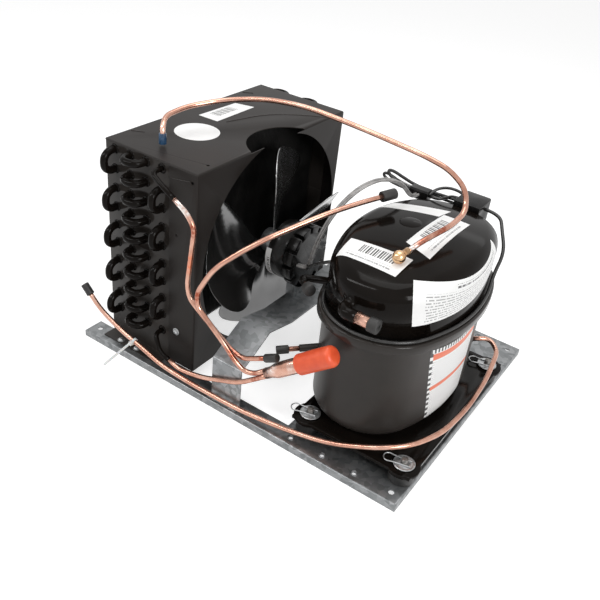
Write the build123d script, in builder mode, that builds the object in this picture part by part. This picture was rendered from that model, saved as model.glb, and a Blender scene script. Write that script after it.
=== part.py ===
from build123d import *
import math
import os

os.makedirs("parts", exist_ok=True)

# Base plate, a folded sheet open under the fan. Origin at its middle, on the top face.
base_length = 490.0
base_width = 382.0
base_sheet = 1.5
base_drop = 10.0
base_bend = 2.5
near_rail = 27.5
far_rail = 44.0
near_edge = -base_width / 2
far_edge = base_width / 2
window_length = 325.0
mount_inset_x = 13.5
mount_inset_y = 15.0
mount_hole = 7.0
burr_inset_x = (150.0, 105.0, 61.0)
burr_inset_y = 11.5
burr_hole = 5.5
burr_rim = 8.5
burr_rise = 0.8
nub_x = (-90.3, -67.3, -44.4)
nub_inset = 9.5
nub_diameter = 6.0
nub_rise = 1.0

# Coil: four rows of tubes in a fin pack between two end plates
tube_pitch = 25.4
tubes_per_row = 10
coil_tube = 9.5
lowest_tube = 41.0
row_x = tuple(-205.0 + tube_pitch * i for i in range(4))
fin_left = -218.0
fin_right = -117.0
fin_pitch = 6.0
fin_slot = 3.6
fin_slot_depth = 7.0
fin_bottom = 28.0
bend_leg = 6.0
bend_sides = 8
plate_sheet = 1.2
plate_left = -219.7
plate_right = -96.0
plate_foot = 20.5

# Shroud: a bent sheet that carries the air from the coil to the fan
shroud_sheet = 1.2
shroud_left = -219.7
shroud_front = -74.7
shroud_near = near_edge + near_rail + 0.5
shroud_far = far_edge - far_rail
shroud_top = 279.0
shroud_bend = 2.4
side_left = -117.0
shroud_middle = (shroud_near + shroud_far) / 2
opening_y = shroud_middle + 5.0
opening_z = 135.0
opening_radius = (shroud_far - shroud_near) / 2 - 9.0
notch_y = shroud_middle - 0.5
notch_radius = 63.0
notch_depth = 36.0
shroud_hole = 4.0

# Fan and motor share one axis along X
fan_y = opening_y
fan_z = opening_z - 4.0
fan_x = -73.0
fan_tip = opening_radius - 7.5
blade_count = 4
blade_start = 3.0
blade_pitch = 27.0
blade_sheet = 1.2
blade_camber = 230.0
hub_radius = 17.0
hub_length = 18.0
shaft_radius = 4.0
shaft_play = 0.05
motor_front = -58.0
motor_radius = 40.0
nose_radius = 12.0
nose_length = 8.0
motor_length = 30.0
rear_radius = 43.0
rear_length = 13.0
rear_slots = 12
rear_slot = 5.0
rear_slot_depth = 8.0

# Bracket: one bent strip that bridges the window from rail to rail
bracket_left = -28.0
bracket_right = 17.0
bracket_sheet = 2.0
bracket_post = far_edge - 10.0
bracket_shoulder = 60.0
bracket_knee = bracket_post - 54.0
bracket_knee_top = 90.0
bracket_saddle_half = 75.0
bracket_saddle_top = 80.0
bracket_foot = 7.0

# Compressor: an oval steel shell in two halves on a foot plate with rubber grommets
rim_half_x = 90.0
rim_half_y = 137.9
rim_end_radius = 78.0
shell_right = 233.0
shell_near = near_edge + 27.1
shell_x = shell_right - rim_half_x
shell_y = shell_near + rim_half_y
shell_far = shell_near + 2 * rim_half_y
rim_bottom = 157.0
rim_top = 167.0
lower_inset = 8.0
upper_inset = 8.5
shell_bottom = 21.0
shell_round = 24.0
dome_top = 243.0
dome_radius = 520.0
stud_half_x = 64.5
stud_half_y = rim_half_y - 17.9
stud_x = shell_right - stud_half_x - 4.0
stud_y = shell_near + stud_half_y + 14.9
foot_bottom = 16.0
foot_sheet = 5.0
lobe_radius = 20.0
grommet_radius = 15.5
grommet_bore = 9.0
washer_radius = 12.5
washer_sheet = 1.5
stud_diameter = 8.0
stud_top = 30.0
stud_play = 0.05
clip_wire = 1.5

# Copper lines
line_diameter = 6.35
suction_diameter = 12.7
line_play = 0.02
cap_radius = 5.2


def turned_radii(points):
    radii = []
    for before, here, after in zip(points, points[1:], points[2:]):
        inward = Vector(*here) - Vector(*before)
        outward = Vector(*after) - Vector(*here)
        half_turn = math.radians(inward.get_angle(outward)) / 2
        radii.append(0.45 * min(inward.length, outward.length) / math.tan(half_turn))
    return radii


def bent_tube(points, diameter, sides=None):
    radii = turned_radii(points)
    with BuildPart() as tube:
        with BuildLine() as route:
            FilletPolyline(*points, radius=radii)
        path = route.wire()
        with BuildSketch(Plane(origin=path @ 0, z_dir=path % 0)) as section:
            if sides:
                RegularPolygon(diameter / 2, sides)
            else:
                Circle(diameter / 2)
        sweep(path=path)
    ratio = tube.part.volume / (path.length * section.sketch.area)
    print(f"tube {path.length:.1f} long, least radius {min(radii):.1f}, volume ratio {ratio:.4f}")
    return tube.part


def rod(start, end, diameter):
    along = Vector(*end) - Vector(*start)
    with BuildPart() as bar:
        with BuildSketch(Plane(origin=start, z_dir=along)):
            Circle(diameter / 2)
        extrude(amount=along.length)
    return bar.part


def line_cap(inner, tip, covered, radius=cap_radius, crown=6.0, bore=line_diameter):
    along = (Vector(*tip) - Vector(*inner)).normalized()
    mouth = Vector(*tip) - along * covered
    with BuildPart() as cap:
        with BuildSketch(Plane(origin=mouth, z_dir=along)):
            Circle(radius)
        extrude(amount=covered + crown)
        with BuildSketch(Plane(origin=mouth, z_dir=along)):
            Circle(bore / 2 + line_play)
        extrude(amount=covered, mode=Mode.SUBTRACT)
    return cap.part


def oval_face(inset):
    half_x = rim_half_x - inset
    half_y = rim_half_y - inset
    end_radius = rim_end_radius - inset
    reach = half_y - end_radius
    side_radius = (reach**2 + half_x**2 - end_radius**2) / (2 * (half_x - end_radius))
    lean = math.atan2(reach, side_radius - half_x)
    join_x = end_radius * math.cos(lean)
    join_y = reach + end_radius * math.sin(lean)
    with BuildSketch() as face:
        with BuildLine():
            ThreePointArc((join_x, -join_y), (half_x, 0), (join_x, join_y))
            ThreePointArc((join_x, join_y), (0, half_y), (-join_x, join_y))
            ThreePointArc((-join_x, join_y), (-half_x, 0), (-join_x, -join_y))
            ThreePointArc((-join_x, -join_y), (0, -half_y), (join_x, -join_y))
        make_face()
    return face.sketch


def keep(piece, name):
    piece.label = name
    export_step(piece, f"parts/{name}.step")


# Base plate
window_near = near_edge + near_rail
window_far = far_edge - far_rail
mount_x = base_length / 2 - mount_inset_x
mount_y = far_edge - mount_inset_y
burr_y = far_edge - burr_inset_y
mount_spots = [(x, y) for x in (-mount_x, mount_x) for y in (-mount_y, mount_y)]
burr_spots = [(base_length / 2 - x, y) for x in burr_inset_x for y in (-burr_y, burr_y)]
stud_spots = [
    (stud_x + i * stud_half_x, stud_y + j * stud_half_y) for i in (-1, 1) for j in (-1, 1)
]
with BuildPart() as base_plate:
    with BuildSketch():
        Rectangle(base_length, base_width)
    extrude(amount=-base_drop)
    fillet(base_plate.faces().sort_by(Axis.Z)[-1].edges(), base_bend)
    with BuildSketch(Plane.XY.offset(-base_drop)):
        Rectangle(base_length - 2 * base_sheet, base_width - 2 * base_sheet)
    extrude(amount=base_drop - base_sheet, mode=Mode.SUBTRACT)
    with BuildSketch(Plane.XY.offset(-base_drop)):
        with Locations((-base_length / 2, window_near)):
            Rectangle(
                window_length,
                window_far - window_near,
                align=(Align.MIN, Align.MIN),
            )
    extrude(amount=base_drop, mode=Mode.SUBTRACT)
    with BuildSketch():
        with Locations(*burr_spots):
            Circle(burr_rim / 2)
    extrude(amount=burr_rise)
    with BuildSketch():
        with Locations(*[(x, near_edge + nub_inset) for x in nub_x]):
            Circle(nub_diameter / 2)
    extrude(amount=nub_rise)
    with BuildSketch(Plane.XY.offset(burr_rise)):
        with Locations(*burr_spots):
            Circle(burr_hole / 2)
        with Locations(*mount_spots):
            Circle(mount_hole / 2)
        with Locations(*stud_spots):
            Circle(stud_diameter / 2 + stud_play)
    extrude(amount=-burr_rise - base_sheet, mode=Mode.SUBTRACT)
keep(base_plate.part, "base_plate")

# Coil end plates, each with a foot on its rail
plate_top = shroud_top - shroud_sheet
plate_near = shroud_near + shroud_sheet
plate_far = shroud_far - shroud_sheet
foot_screw_x = (-161.4, -190.0)
with BuildPart() as coil_plate_near:
    with Locations((plate_left, plate_near, 0)):
        Box(
            plate_right - plate_left,
            plate_sheet,
            plate_top,
            align=(Align.MIN, Align.MIN, Align.MIN),
        )
    with Locations((plate_left + 2.5, plate_near, 0)):
        Box(
            side_left - plate_left - 5,
            plate_foot,
            plate_sheet,
            align=(Align.MIN, Align.MAX, Align.MIN),
        )
with BuildPart() as coil_plate_far:
    with Locations((plate_left, plate_far, 0)):
        Box(
            plate_right - plate_left,
            plate_sheet,
            plate_top,
            align=(Align.MIN, Align.MAX, Align.MIN),
        )
    with Locations((plate_left + 2.5, plate_far, 0)):
        Box(
            side_left - plate_left - 5,
            plate_foot,
            plate_sheet,
            align=(Align.MIN, Align.MIN, Align.MIN),
        )
keep(coil_plate_near.part, "coil_plate_near")
keep(coil_plate_far.part, "coil_plate_far")

# Fin pack: one comb-shaped block between the plates
fin_near = plate_near + plate_sheet
fin_far = plate_far - plate_sheet
slot_count = int((fin_far - fin_near) // fin_pitch)
slot_start = (fin_near + fin_far - fin_pitch * (slot_count - 1)) / 2
with BuildPart() as fin_pack:
    with BuildSketch(Plane.XY.offset(fin_bottom)):
        with Locations((fin_left, fin_near)):
            Rectangle(fin_right - fin_left, fin_far - fin_near, align=(Align.MIN, Align.MIN))
        for face_x in (fin_left, fin_right):
            with Locations(*[(face_x, slot_start + fin_pitch * i) for i in range(slot_count)]):
                Rectangle(2 * fin_slot_depth, fin_slot, mode=Mode.SUBTRACT)
    extrude(amount=plate_top - fin_bottom)
keep(fin_pack.part, "fin_pack")

# One return bend, eight-sided: forty round ones would be most of the model's faces
with BuildPart() as return_bend:
    with BuildSketch(Plane.XZ):
        with Locations((0, tube_pitch / 2), (0, -tube_pitch / 2)):
            RegularPolygon(coil_tube / 2, bend_sides)
    extrude(amount=bend_leg)
    with BuildSketch(Plane.XZ.offset(bend_leg)):
        with Locations((0, tube_pitch / 2)):
            RegularPolygon(coil_tube / 2, bend_sides)
    revolve(axis=Axis((0, -bend_leg, 0), (1, 0, 0)), revolution_arc=180)


def tube_z(number):
    return lowest_tube + tube_pitch * number


def row_mid(row):
    return row_x[row] + tube_pitch / 2


def from_near(x, y, z):
    return (x, near_edge + y, z)


upright_bends = [(row_x[0], tube_z(i) + tube_pitch / 2) for i in range(0, tubes_per_row, 2)]
upright_bends += [(row_x[3], tube_z(i) + tube_pitch / 2) for i in range(1, tubes_per_row - 1, 2)]
with BuildPart() as near_bends:
    with Locations(*[Location((x, plate_near, z)) for x, z in upright_bends]):
        add(return_bend.part)
    with Locations(
        *[Location((row_mid(1), plate_near, tube_z(i)), (0, 90, 0)) for i in range(tubes_per_row)]
    ):
        add(return_bend.part)
with BuildPart() as far_bends:
    with Locations(
        *[
            Location((row_mid(row), plate_far, tube_z(i)), (180, 90, 0))
            for i in range(tubes_per_row)
            for row in (0, 2)
        ]
    ):
        add(return_bend.part)
keep(near_bends.part, "near_return_bends")
keep(far_bends.part, "far_return_bends")

# The filter drier leans between the outlet line and the tube that rises from it
drier_start = Vector(*from_near(53, 10, 78))
drier_axis = (Vector(*from_near(132, 19, 140)) - drier_start).normalized()
drier_side = drier_axis.cross(Vector(0, 1, 0)).normalized()
port_offset = 3.3
port_lead = 18.0
upper_port = drier_start + drier_side * port_offset
lower_port = drier_start - drier_side * port_offset

# Coil ends of the first and last tube, and the lines brazed to them
inlet_stub_route = [
    (row_x[3], plate_near, tube_z(9)),
    from_near(row_x[3], 12, tube_z(9)),
    from_near(-107, 7, 260.8),
    from_near(-92, 8.8, 250.85),
]
inlet_line_route = [
    from_near(-92, 8.8, 250.85),
    from_near(-77, 10.6, 240.9),
    from_near(-62, 10, 225),
    from_near(-71, 10, 146),
    from_near(-67, 10, 128),
    from_near(-46, 10, 113),
    from_near(0, 10, 84),
    from_near(17, 10, 81),
    from_near(33, 10, 89),
    from_near(60, 10, 104),
]
outlet_stub_route = [
    (row_x[3], plate_near, tube_z(0)),
    from_near(row_x[3], 16, tube_z(0)),
    from_near(-112, 6, 26),
    from_near(-95, 6, 21),
]
outlet_line_route = [
    from_near(-95, 6, 21),
    from_near(-78, 6, 16),
    from_near(-42, 6, 22),
    from_near(17, 6, 46),
    lower_port - drier_axis * port_lead,
    lower_port,
]
keep(bent_tube(inlet_stub_route, line_diameter), "inlet_stub")
keep(bent_tube(outlet_stub_route, line_diameter), "outlet_stub")
keep(bent_tube(inlet_line_route, line_diameter), "inlet_line")
keep(bent_tube(outlet_line_route, line_diameter), "outlet_line")

# Shroud: top, front with the fan opening, and a short panel at each side
side_width = shroud_front - side_left
with BuildPart() as shroud:
    with Locations((shroud_left, shroud_near, 0)):
        Box(
            shroud_front - shroud_left,
            shroud_far - shroud_near,
            shroud_top,
            align=(Align.MIN, Align.MIN, Align.MIN),
        )
    fillet(shroud.edges().filter_by(Axis.Y).sort_by(Axis.Z)[-2:].sort_by(Axis.X)[-1], shroud_bend)
    fillet(
        shroud.edges().filter_by(Axis.Z).sort_by(Axis.X)[-2:],
        shroud_bend,
    )
    with Locations((shroud_left, shroud_near + shroud_sheet, 0)):
        Box(
            shroud_front - shroud_sheet - shroud_left,
            shroud_far - shroud_near - 2 * shroud_sheet,
            shroud_top - shroud_sheet,
            align=(Align.MIN, Align.MIN, Align.MIN),
            mode=Mode.SUBTRACT,
        )
    with Locations((shroud_left, shroud_near, 0)):
        Box(
            side_left - shroud_left,
            shroud_far - shroud_near,
            shroud_top - shroud_sheet,
            align=(Align.MIN, Align.MIN, Align.MIN),
            mode=Mode.SUBTRACT,
        )
    with BuildSketch(Plane.YZ.offset(shroud_front)):
        with Locations((opening_y, opening_z)):
            Circle(opening_radius)
    extrude(amount=-2 * shroud_bend, mode=Mode.SUBTRACT)
    with BuildSketch(Plane.XY.offset(shroud_top)):
        with Locations((shroud_front + notch_radius - notch_depth, notch_y)):
            Circle(notch_radius)
    extrude(amount=-2 * shroud_sheet, mode=Mode.SUBTRACT)
    with BuildSketch(Plane.XY.offset(shroud_top)):
        with Locations((shroud_front - 10, shroud_near + 29.2)):
            Circle(shroud_hole / 2)
    extrude(amount=-2 * shroud_sheet, mode=Mode.SUBTRACT)
    with BuildSketch(Plane.XZ.offset(-shroud_near)):
        with Locations((-104.5, 192), (-82, 267)):
            Circle(shroud_hole / 2)
    extrude(amount=-2 * shroud_sheet, mode=Mode.SUBTRACT)
keep(shroud.part, "shroud")


# Screw heads only: the shanks are hidden in the sheets they hold
def round_heads(places, radius, height):
    with BuildPart() as heads:
        with Locations(*places):
            Cone(radius, 0.62 * radius, height, align=(Align.CENTER, Align.CENTER, Align.MIN))
    return heads.part


shroud_screw_places = [
    Location((-104, shroud_near, 50.5), (90, 0, 0)),
    Location((-104, shroud_far, 50.5), (-90, 0, 0)),
]
keep(round_heads(shroud_screw_places, 4.2, 2.6), "shroud_screws")
coil_foot_places = [Location((x, near_edge + 14, plate_sheet)) for x in foot_screw_x]
coil_foot_places += [Location((x, shroud_far + 13, plate_sheet)) for x in foot_screw_x]
keep(round_heads(coil_foot_places, 4.2, 2.6), "coil_foot_screws")

# Motor bracket
bracket_line = [
    (-bracket_post - bracket_foot, bracket_sheet),
    (-bracket_post, bracket_sheet),
    (-bracket_post, bracket_shoulder),
    (-bracket_knee, bracket_knee_top),
    (-bracket_saddle_half + fan_y, bracket_saddle_top),
]
bracket_outline = bracket_line + [(-y, z) for y, z in reversed(bracket_line)]
with BuildPart() as motor_bracket:
    with BuildSketch(Plane.YZ.offset(bracket_left)):
        with BuildLine() as strip:
            Polyline(*bracket_outline)
            offset(amount=bracket_sheet, side=Side.RIGHT)
        make_face()
    extrude(amount=bracket_right - bracket_left)
keep(motor_bracket.part, "motor_bracket")

# Cradle between the bracket and the round motor, and the bolts that hold the bracket
cradle_left = motor_front + motor_length
cradle_half = 28.0
cradle_height = 18.0
bracket_bolt_places = [
    Location((x, y, bracket_sheet)) for x in (-18, 7) for y in (near_edge + 6.4, far_edge - 6.4)
]
keep(round_heads(bracket_bolt_places, 2.8, 2.0), "bracket_screws")
with BuildPart() as motor_cradle:
    with BuildSketch(Plane.YZ.offset(cradle_left)):
        with Locations((fan_y, bracket_saddle_top)):
            Rectangle(2 * cradle_half, fan_z - bracket_saddle_top, align=(Align.CENTER, Align.MIN))
        with Locations((fan_y, fan_z)):
            Circle(rear_radius, mode=Mode.SUBTRACT)
            Rectangle(
                2 * cradle_half,
                2 * (fan_z - bracket_saddle_top - cradle_height),
                mode=Mode.SUBTRACT,
            )
    extrude(amount=rear_length)
keep(motor_cradle.part, "motor_cradle")

# Fan motor: nose, body and a slotted rear bell
with BuildPart() as motor_body:
    with BuildSketch(Plane(origin=(motor_front, fan_y, fan_z), z_dir=(1, 0, 0))):
        Circle(motor_radius)
    extrude(amount=motor_length)
    fillet(motor_body.faces().sort_by(Axis.X)[0].edges(), 5)
    with BuildSketch(Plane(origin=(motor_front, fan_y, fan_z), z_dir=(-1, 0, 0))):
        Circle(nose_radius)
    extrude(amount=nose_length)
    with BuildSketch(Plane(origin=(motor_front - nose_length, fan_y, fan_z), z_dir=(1, 0, 0))):
        Circle(shaft_radius + shaft_play)
    extrude(amount=2 * nose_length, mode=Mode.SUBTRACT)
with BuildPart() as motor_rear:
    with BuildSketch(Plane(origin=(motor_front + motor_length, fan_y, fan_z), z_dir=(1, 0, 0))):
        Circle(rear_radius)
        with PolarLocations(rear_radius, rear_slots):
            Rectangle(2 * rear_slot_depth, rear_slot, mode=Mode.SUBTRACT)
    extrude(amount=rear_length)
keep(motor_body.part, "motor_body")
keep(motor_rear.part, "motor_rear_bell")

# Fan: shaft, hub and curved sheet blades, cut from a rolled strip by the blade outline
hub_start = fan_x - 12
shaft_start = hub_start - 4
shaft_end = motor_front + nose_length - 1
keep(rod((shaft_start, fan_y, fan_z), (shaft_end, fan_y, fan_z), 2 * shaft_radius), "fan_shaft")
with BuildPart() as fan_hub:
    with BuildSketch(Plane(origin=(hub_start, fan_y, fan_z), z_dir=(1, 0, 0))):
        Circle(hub_radius)
        Circle(shaft_radius, mode=Mode.SUBTRACT)
    extrude(amount=hub_length)
keep(fan_hub.part, "fan_hub")

blade_plane = Plane(
    origin=(0, 0, 0),
    x_dir=(0, 1, 0),
    z_dir=(math.cos(math.radians(blade_pitch)), 0, -math.sin(math.radians(blade_pitch))),
)
blade_section = Plane(origin=(0, 0, 0), x_dir=blade_plane.y_dir, z_dir=(0, 1, 0))
blade_root = 14.0
blade_edge = [(0.25, -0.15), (0.345, -0.35), (0.46, -0.52), (0.59, -0.64), (0.75, -0.53)]
blade_edge += [(0.875, -0.31), (0.985, -0.02), (0.96, 0.17), (0.90, 0.29), (0.78, 0.37)]
blade_edge += [(0.60, 0.33), (0.49, 0.23), (0.30, 0.13)]
blade_outline = [(blade_root, -13), *[(u * fan_tip, v * fan_tip) for u, v in blade_edge]]
blade_outline.append((blade_root, 13))
with BuildPart() as blade:
    with BuildSketch(blade_plane.offset(-40)):
        with BuildLine():
            Spline(*blade_outline)
            Line(blade_outline[-1], blade_outline[0])
        make_face()
    extrude(amount=80)
    with BuildSketch(blade_section, mode=Mode.PRIVATE) as strip_section:
        with Locations((0, blade_camber)):
            Circle(blade_camber)
            Circle(blade_camber - blade_sheet, mode=Mode.SUBTRACT)
    extrude(strip_section.sketch, amount=fan_tip, mode=Mode.INTERSECT)
with BuildPart() as fan_blades:
    with Locations(
        *[
            Location((fan_x, fan_y, fan_z), (blade_start + 360 / blade_count * i, 0, 0))
            for i in range(blade_count)
        ]
    ):
        add(blade.part)
    with BuildSketch(Plane(origin=(hub_start, fan_y, fan_z), z_dir=(1, 0, 0))):
        Circle(hub_radius)
    extrude(amount=hub_length, mode=Mode.SUBTRACT)
keep(fan_blades.part, "fan_blades")

# Compressor shell, lower half: straight oval wall, rounded below, with the weld rim on top
neck_diameter = 9.0
suction_neck = 14.0
suction_stub = (Vector(*from_near(149, 21, 198)), Vector(*from_near(171, 21, 198)))
process_stub = (Vector(*from_near(66, 55.2, 95.4)), Vector(*from_near(49.9, 40.6, 93.2)))
spare_stub = (Vector(*from_near(57.2, 66, 177.1)), Vector(*from_near(67.2, 57.8, 178.5)))
liquid_end = (202, shell_far - 28, 56)
spare_along = (spare_stub[1] - spare_stub[0]).normalized()
suction_neck_route = [from_near(131, 56, 199), from_near(131, 21, 198), suction_stub[0]]
spare_neck_route = [from_near(99, 103, 178), spare_stub[0] - spare_along * 17, spare_stub[0]]
with BuildPart() as lower_shell:
    with BuildSketch(Plane.XY.offset(shell_bottom)):
        with Locations((shell_x, shell_y)):
            add(oval_face(lower_inset))
    extrude(amount=rim_top - shell_bottom)
    fillet(lower_shell.faces().sort_by(Axis.Z)[0].edges(), shell_round)
    with BuildSketch(Plane.XY.offset(rim_bottom)):
        with Locations((shell_x, shell_y)):
            add(oval_face(0))
    extrude(amount=rim_top - rim_bottom)
    fillet(lower_shell.faces().filter_by(Plane.XY).sort_by(Axis.Z)[-1].edges(), 2.5)
    add(rod(from_near(100, 86, 100), process_stub[0], neck_diameter))
    add(rod((180, shell_far - 50, 56), liquid_end, neck_diameter))

# Upper half: a crowned dome with rounded shoulders, set in from the rim
with BuildPart() as upper_shell:
    with BuildSketch(Plane.XY.offset(rim_top)):
        with Locations((shell_x, shell_y)):
            add(oval_face(upper_inset))
    extrude(amount=dome_top - rim_top)
    with Locations((shell_x, shell_y, dome_top - dome_radius)):
        Sphere(dome_radius, mode=Mode.INTERSECT)
    fillet(upper_shell.faces().sort_by(Axis.Z)[-1].edges(), 20)
    add(bent_tube(suction_neck_route, suction_neck))
    add(bent_tube(spare_neck_route, neck_diameter))
keep(lower_shell.part, "compressor_lower_shell")
keep(upper_shell.part, "compressor_upper_shell")

# Foot plate with a lobe over each grommet
foot_margin = 16.0
grommet_neck = 7.0
neck_play = 0.1
washer_seat = foot_bottom + foot_sheet + 1.0
with BuildPart() as foot_plate:
    with BuildSketch(Plane.XY.offset(foot_bottom)):
        with Locations((stud_x, stud_y)):
            Rectangle(2 * (stud_half_x + foot_margin), 2 * (stud_half_y + foot_margin))
        with Locations(*stud_spots):
            Circle(lobe_radius)
            Circle(grommet_neck + neck_play, mode=Mode.SUBTRACT)
    extrude(amount=foot_sheet)
keep(foot_plate.part, "compressor_foot")

with BuildPart() as grommets:
    with BuildSketch():
        with Locations(*stud_spots):
            Circle(grommet_radius)
    extrude(amount=foot_bottom)
    with BuildSketch():
        with Locations(*stud_spots):
            Circle(grommet_neck)
    extrude(amount=washer_seat)
    with BuildSketch():
        with Locations(*stud_spots):
            Circle(stud_diameter / 2 + stud_play)
    extrude(amount=washer_seat, mode=Mode.SUBTRACT)
keep(grommets.part, "foot_grommets")

with BuildPart() as washers:
    with BuildSketch(Plane.XY.offset(washer_seat)):
        with Locations(*stud_spots):
            Circle(washer_radius)
            Circle(stud_diameter / 2 + stud_play, mode=Mode.SUBTRACT)
    extrude(amount=washer_sheet)
keep(washers.part, "stud_washers")

stud_head_radius = 7.0
stud_head = 4.0
with BuildPart() as studs:
    with BuildSketch(Plane.XY.offset(-base_sheet)):
        with Locations(*stud_spots):
            Circle(stud_diameter / 2)
    extrude(amount=stud_top + base_sheet)
    with BuildSketch(Plane.XY.offset(-base_sheet)):
        with Locations(*stud_spots):
            RegularPolygon(stud_head_radius, 6)
    extrude(amount=-stud_head)
keep(studs.part, "foot_studs")

clip_side = stud_diameter / 2 + clip_wire / 2 + stud_play
clip_z = washer_seat + washer_sheet + clip_wire / 2 + stud_play
clip_route = [
    (8, -clip_side, clip_z),
    (-11, -clip_side, clip_z),
    (-21, -7, clip_z),
    (-25, 0, clip_z),
    (-21, 7, clip_z),
    (-11, clip_side, clip_z),
    (8, clip_side, clip_z),
]
clip = bent_tube(clip_route, clip_wire, 6)
with BuildPart() as clips:
    with Locations(*[Location((x, y, 0)) for x, y in stud_spots]):
        add(clip)
keep(clips.part, "stud_clips")

# Short copper stubs on the shell, each closed by a rubber cap
keep(rod(*suction_stub, suction_diameter), "suction_stub")
keep(rod(*process_stub, line_diameter), "process_stub")
keep(rod(*spare_stub, line_diameter), "spare_stub")
keep(line_cap(*suction_stub, 6, 8.4, 5, suction_diameter), "suction_cap")
keep(line_cap(*process_stub, 9), "process_cap")
keep(line_cap(*spare_stub, 6, 7.2, 5), "spare_cap")

# Filter drier: a fat copper barrel with a spun neck, its upper half under a soft cap
drier_radius = 9.5
drier_neck = 7.0
drier_cap_radius = 12.5
drier_place = Plane(origin=drier_start, z_dir=drier_axis)
drier_barrel = 96.0
drier_cap_start = 52.0
with BuildPart() as drier:
    with BuildSketch(drier_place):
        Circle(drier_neck)
    extrude(amount=8)
    with Locations(drier_place.offset(8).location):
        Cone(drier_neck, drier_radius, 10, align=(Align.CENTER, Align.CENTER, Align.MIN))
    with BuildSketch(drier_place.offset(18)):
        Circle(drier_radius)
    extrude(amount=drier_barrel - 18)
keep(drier.part, "filter_drier")
with BuildPart() as drier_cap:
    with BuildSketch(drier_place.offset(drier_cap_start)):
        Circle(drier_cap_radius)
    extrude(amount=drier_barrel + 6 - drier_cap_start)
    fillet(drier_cap.edges().sort_by(Axis((0, 0, 0), drier_axis))[-1], 6)
    with BuildSketch(drier_place.offset(drier_cap_start)):
        Circle(drier_radius + line_play)
    extrude(amount=drier_barrel - drier_cap_start, mode=Mode.SUBTRACT)
keep(drier_cap.part, "drier_cap")

access_tube_route = [
    upper_port,
    upper_port - drier_axis * port_lead,
    from_near(24, 6, 67.5),
    from_near(12, 2, 79),
    from_near(-3, -1, 99),
    from_near(-45, -1, 131),
    from_near(-47, 0, 150),
    from_near(-32, 10, 185),
    from_near(5, 35, 222),
    from_near(47, 101, 248),
    from_near(67, 145, 255),
    from_near(86, 190, 258),
]
liquid_line_route = [
    from_near(-236, 0, 72),
    from_near(-212, 0, 49),
    from_near(-173, 1, 31),
    from_near(-141, 1, 23),
    from_near(-107, 1, 12),
    from_near(-60, 1, 8.5),
    from_near(25, 2.4, 8.5),
    from_near(85, 11, 8.5),
    from_near(145, 19, 16),
    from_near(203, 27, 41),
    from_near(229, 53, 42),
    from_near(247, 95, 42),
    from_near(251, 160, 38),
    from_near(247, 231, 42),
    (238, shell_far - 22, 50),
    (220, shell_far - 10, 56),
    liquid_end,
]
ball_radius = 7.5
ball_x = 155.0
ball_y = near_edge + 87.0
ball_spread = math.hypot(ball_x - shell_x, ball_y - shell_y)
ball_rise = math.sqrt((dome_radius + ball_radius) ** 2 - ball_spread**2)
ball_place = Vector(ball_x, ball_y, dome_top - dome_radius + ball_rise)
ball_neck = 13.0
tap_line_route = [
    ball_place + (Vector(*from_near(167, 115, 258)) - ball_place).normalized() * ball_neck,
    from_near(167, 115, 258),
    from_near(178, 160, 263),
    from_near(180, 190, 270),
    from_near(170, 202, 290),
    from_near(147, 200, 307),
    from_near(115, 196, 315),
    from_near(28, 195, 323),
    from_near(-45, 186, 330),
    from_near(-97, 176, 327),
    from_near(-141, 152, 319),
    from_near(-166, 112, 313),
    from_near(-169, 78, 309),
    from_near(-158, 61, 303),
    from_near(-157, 60, 287),
]
keep(bent_tube(access_tube_route, line_diameter), "access_tube")
liquid_line = bent_tube(liquid_line_route, line_diameter)
keep(liquid_line, "liquid_line")
keep(bent_tube(tap_line_route, line_diameter), "tap_line")
keep(line_cap(inlet_line_route[-2], inlet_line_route[-1], 12), "inlet_cap")
keep(line_cap(access_tube_route[-2], access_tube_route[-1], 14, 6.5), "access_cap")
keep(line_cap(liquid_line_route[1], liquid_line_route[0], 10), "liquid_cap")
keep(line_cap(tap_line_route[-2], tap_line_route[-1], 8, 4.6, 5), "tap_cap")

# Brass ball on the dome that the top line is brazed into
with BuildPart() as ball_fitting:
    with Locations(ball_place):
        Sphere(ball_radius)
    add(rod(ball_place, tap_line_route[0], 8.6))
keep(ball_fitting.part, "ball_fitting")

# Leads: one from the motor to a connector block, one along the rim to the terminal cover
lead_diameter = 4.4
cover_left = 133.0
cover_width = 35.0
cover_bottom = 178.0
cover_height = 60.0
cover_back = shell_far + 13.1
cover_depth = 40.0
block_place = (84, shell_far - 20, 228)
block_size = (26, 16, 14)
with BuildPart() as terminal_cover:
    with Locations((cover_left, cover_back, cover_bottom)):
        Box(
            cover_width,
            cover_depth,
            cover_height,
            align=(Align.MIN, Align.MAX, Align.MIN),
        )
    fillet(terminal_cover.edges().filter_by(Axis.Z).sort_by(Axis.Y)[-2:], 4)
    add(upper_shell.part, mode=Mode.SUBTRACT)
keep(terminal_cover.part, "terminal_cover")
with BuildPart() as connector_block:
    with Locations(block_place):
        Box(*block_size)
    chamfer(connector_block.edges().filter_by(Axis.X), 2)
keep(connector_block.part, "connector_block")

motor_lead_route = [
    (motor_front + motor_length + rear_length, fan_y - 28, 130),
    (2, fan_y - 28, 130),
    (12, fan_y - 37, 160),
    (24, fan_y - 45, 195),
    (34, fan_y - 41, 226),
    (44, fan_y - 23, 248),
    (54, fan_y - 5, 261),
    (66, fan_y + 17, 266),
    (76, fan_y + 48, 255),
    (84, block_place[1] - 26, 228),
    (84, block_place[1] - block_size[1] / 2, 228),
]
harness_route = [
    (block_place[0] + block_size[0] / 2, block_place[1], 228),
    (110, block_place[1], 228),
    (120, cover_back - 11, 228),
    (cover_left, cover_back - 11, 228),
]
ledge_z = rim_top + lead_diameter / 2 + line_play
ledge_inset = 4.4
ledge_half_x = rim_half_x - ledge_inset
ledge_radius = rim_end_radius - ledge_inset
ledge_reach = rim_half_y - rim_end_radius
ledge_square = ledge_reach**2 + ledge_half_x**2 - ledge_radius**2
ledge_side_radius = ledge_square / (2 * (ledge_half_x - ledge_radius))


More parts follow.
